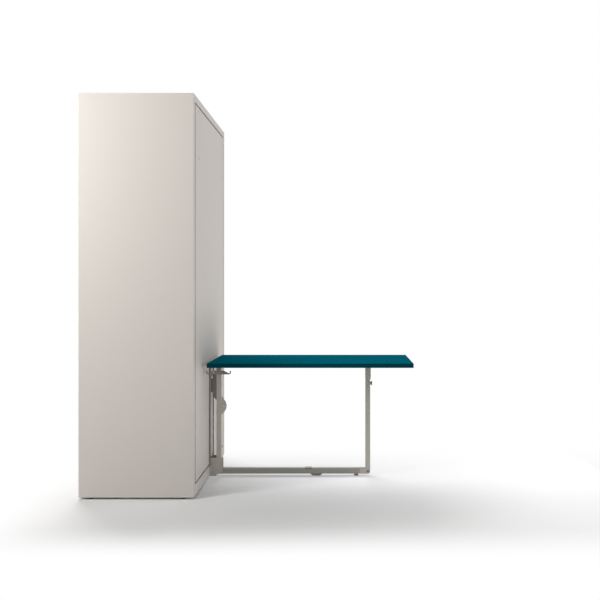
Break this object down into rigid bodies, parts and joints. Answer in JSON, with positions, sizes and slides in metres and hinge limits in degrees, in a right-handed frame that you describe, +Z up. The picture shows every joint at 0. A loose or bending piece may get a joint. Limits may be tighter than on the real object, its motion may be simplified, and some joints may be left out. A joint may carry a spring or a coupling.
{
  "type": "wall bed with fold-down desk",
  "caption": "Upright cabinet with a bed that folds down over a level desk on a folding floor frame.",
  "frame": {"origin": "middle of the footprint of cabinet and desk, at floor level", "axes": "+X from the wall into the room, along the desk; +Y along the cabinet's width; +Z up"},
  "size_m": [1.871, 1.06, 2.24],
  "materials": {
    "board": "matt lacquered wood board",
    "painted_steel": "satin powder coat",
    "light_steel": "light satin powder coat",
    "dark_steel": "satin powder coat",
    "zinc": "bright zinc plating",
    "rubber": "matt",
    "nylon": "moulded",
    "pale_plastic": "moulded",
    "birch": "clear lacquer",
    "mattress_fabric": "knitted ticking",
    "webbing": "woven webbing",
    "desk_board": "matt coloured laminate"
  },
  "bodies": {
    "cabinet": {"side_panel_left": "board", "side_panel_right": "board", "top_panel": "board", "plinth_board": "board", "back_panel_upper": "board", "back_panel_lower": "board", "back_joint_strip": "board", "back_rail_top": "board", "back_rail_bottom": "board", "headboard_panel": "board", "headboard_shelf": "board", "cabinet_glides": "nylon", "pivot_brackets": "zinc", "pivot_bushes": "nylon", "stop_buffers": "rubber", "strut_brackets": "zinc", "base_bracket": "painted_steel", "base_bracket_pad": "rubber", "floor_rail": "painted_steel", "rail_end_ears": "painted_steel", "rail_foot": "painted_steel", "levelling_foot": "dark_steel", "rail_landing_pad": "rubber", "arm_pivot_bolt": "painted_steel", "leg_pivot_bolt": "dark_steel", "cabinet_screws": "zinc"},
    "bed": {"front_panel": "board", "bed_side_rail_left": "birch", "bed_side_rail_right": "birch", "bed_end_rails": "birch", "slats": "birch", "slat_holders": "nylon", "mattress": "mattress_fabric", "mattress_retainer": "zinc", "bedding_straps": "webbing", "strap_buckles": "nylon", "pivot_pins": "zinc", "panel_channel": "light_steel", "panel_link_bracket": "painted_steel", "drop_leg_pins": "zinc"},
    "rear_arm": {"rear_arm": "painted_steel", "arm_hinge_plates": "painted_steel", "arm_lug_plates": "painted_steel", "arm_gusset": "dark_steel", "arm_buffer": "pale_plastic", "lug_rivet": "zinc"},
    "drive_link": {"drive_link": "dark_steel"},
    "desk": {"desk_top": "desk_board", "desk_rear_bracket": "painted_steel", "desk_front_bracket": "painted_steel", "desk_hooks": "dark_steel", "desk_screws": "zinc"},
    "front_leg": {"front_leg": "painted_steel", "leg_fittings": "pale_plastic"},
    "drop_leg_left": {"drop_leg_left": "board"},
    "drop_leg_right": {"drop_leg_right": "board"},
    "gas_cylinder_left": {"gas_cylinder_left": "dark_steel"},
    "gas_cylinder_right": {"gas_cylinder_right": "dark_steel"},
    "gas_rod_left": {"gas_rod_left": "zinc"},
    "gas_rod_right": {"gas_rod_right": "zinc"}
  },
  "joints": [
    {"name": "bed_fold", "type": "hinge", "parent": "cabinet", "child": "bed", "pos_m": [-0.3325, 0, 0.29], "axis": [0, 1, 0], "range_deg": [0, 90]},
    {"name": "rear_arm_swing", "type": "hinge", "parent": "cabinet", "child": "rear_arm", "pos_m": [-0.2625, 0, 0.088], "axis": [0, 1, 0], "range_deg": [-1, 91]},
    {"name": "desk_level", "type": "hinge", "parent": "rear_arm", "child": "desk", "pos_m": [-0.2625, 0, 0.682], "axis": [0, 1, 0], "range_deg": [-91, 1]},
    {"name": "front_leg_swing", "type": "hinge", "parent": "cabinet", "child": "front_leg", "pos_m": [0.6765, 0, 0.028], "axis": [0, 1, 0], "range_deg": [-1, 91]},
    {"name": "drive_link_turn", "type": "hinge", "parent": "rear_arm", "child": "drive_link", "pos_m": [-0.2185, 0, 0.428], "axis": [0, 1, 0], "range_deg": [-91, 1]},
    {"name": "drop_leg_left_swing", "type": "hinge", "parent": "bed", "child": "drop_leg_left", "pos_m": [-0.3055, -0.38, 2.163], "axis": [0, 1, 0], "range_deg": [-91, 1]},
    {"name": "drop_leg_right_swing", "type": "hinge", "parent": "bed", "child": "drop_leg_right", "pos_m": [-0.3055, 0.38, 2.163], "axis": [0, 1, 0], "range_deg": [-91, 1]},
    {"name": "gas_cylinder_left_swing", "type": "hinge", "parent": "cabinet", "child": "gas_cylinder_left", "pos_m": [-0.4825, -0.47, 0.69], "axis": [0, 1, 0], "range_deg": [-1, 7.7]},
    {"name": "gas_rod_left_slide", "type": "slide", "parent": "gas_cylinder_left", "child": "gas_rod_left", "axis": [0.2236, 0, -0.9747], "range_m": [-0.15607, 0.002]},
    {"name": "gas_cylinder_right_swing", "type": "hinge", "parent": "cabinet", "child": "gas_cylinder_right", "pos_m": [-0.4825, 0.47, 0.69], "axis": [0, 1, 0], "range_deg": [-1, 7.7]},
    {"name": "gas_rod_right_slide", "type": "slide", "parent": "gas_cylinder_right", "child": "gas_rod_right", "axis": [0.2236, 0, -0.9747], "range_m": [-0.15607, 0.002]}
  ],
  "couplings": [
    {"joint": "rear_arm_swing", "follows": "bed_fold", "ratio": 1},
    {"joint": "desk_level", "follows": "bed_fold", "ratio": -1},
    {"joint": "front_leg_swing", "follows": "bed_fold", "ratio": 1},
    {"joint": "drive_link_turn", "follows": "bed_fold", "ratio": -1},
    {"joint": "drop_leg_left_swing", "follows": "bed_fold", "ratio": -1},
    {"joint": "drop_leg_right_swing", "follows": "bed_fold", "ratio": -1},
    {"joint": "gas_cylinder_left_swing", "follows": "bed_fold", "ratio": 0.07445},
    {"joint": "gas_cylinder_right_swing", "follows": "bed_fold", "ratio": 0.07445},
    {"joint": "gas_rod_left_slide", "follows": "bed_fold", "m_per_rad": -0.098087},
    {"joint": "gas_rod_right_slide", "follows": "bed_fold", "m_per_rad": -0.098087}
  ]
}
